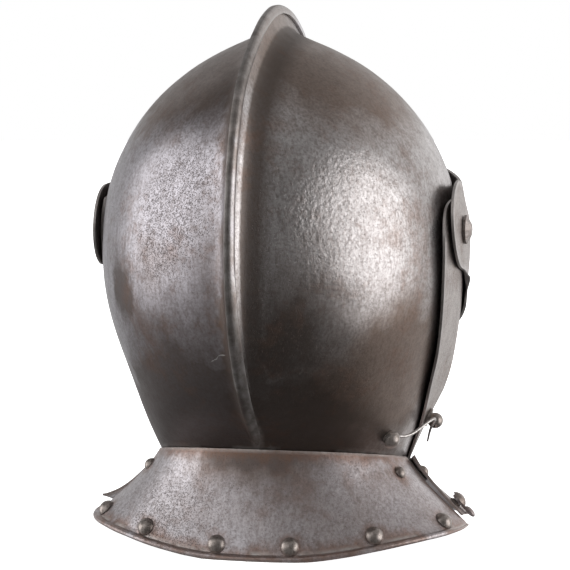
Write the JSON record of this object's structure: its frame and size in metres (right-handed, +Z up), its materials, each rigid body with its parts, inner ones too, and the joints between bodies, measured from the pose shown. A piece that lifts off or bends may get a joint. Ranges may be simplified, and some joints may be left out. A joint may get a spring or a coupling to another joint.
{
  "type": "close helmet",
  "caption": "Combed iron close helmet with visor and bevor turning on shared temple bolts, a closing hook, a collar catch and a flared neck collar.",
  "frame": {"origin": "the middle of the helmet's bounding box, at the foot of the collar", "axes": "+Z up, -Y the way the face looks, +X the wearer's left"},
  "size_m": [0.2316, 0.3066, 0.3201],
  "materials": {
    "skull_iron": "dark patinated iron",
    "collar_iron": "dark patinated iron",
    "bevor_iron": "dark patinated iron",
    "visor_iron": "dark patinated iron",
    "rivet_iron": "dark patinated iron",
    "inner_iron": "dark patinated iron",
    "bright_wire": "dark patinated iron",
    "lining_leather": "worn leather"
  },
  "bodies": {
    "skull": {"skull_left": "skull_iron", "skull_right": "skull_iron", "rear_collar": "collar_iron", "rear_joint_rivets": "rivet_iron", "rear_lining_rivets": "rivet_iron", "rear_lining_strap": "lining_leather", "rear_lining_washers": "inner_iron", "pivot_bolt_left": "rivet_iron", "pivot_bolt_right": "rivet_iron", "pivot_washers": "inner_iron", "pivot_nuts": "inner_iron", "hook_rivet": "rivet_iron"},
    "bevor": {"bevor": "bevor_iron", "front_collar": "collar_iron", "front_joint_rivets": "rivet_iron", "front_lining_rivets": "rivet_iron", "front_lining_strap": "lining_leather", "front_lining_washers": "inner_iron", "hook_eye": "rivet_iron", "catch_rivet": "rivet_iron"},
    "visor": {"visor": "visor_iron", "lifting_peg": "bright_wire"},
    "hook": {"closing_hook": "bright_wire"},
    "catch": {"collar_catch": "bright_wire"}
  },
  "joints": [
    {"name": "bevor_hinge", "type": "hinge", "parent": "skull", "child": "bevor", "pos_m": [0, 0.009, 0.187], "axis": [-1, 0, 0], "range_deg": [0, 38]},
    {"name": "visor_hinge", "type": "hinge", "parent": "bevor", "child": "visor", "pos_m": [0, 0.009, 0.187], "axis": [-1, 0, 0], "range_deg": [0, 48]},
    {"name": "hook_swing", "type": "hinge", "parent": "skull", "child": "hook", "pos_m": [-0.07059, 0.04, 0.067], "axis": [-0.7465, 0.4256, -0.5115], "range_deg": [0, 80]},
    {"name": "catch_turn", "type": "hinge", "parent": "bevor", "child": "catch", "pos_m": [-0.10374, -0.00582, 0.02135], "axis": [-0.7408, -0.1316, 0.6587], "range_deg": [-90, 90]}
  ]
}
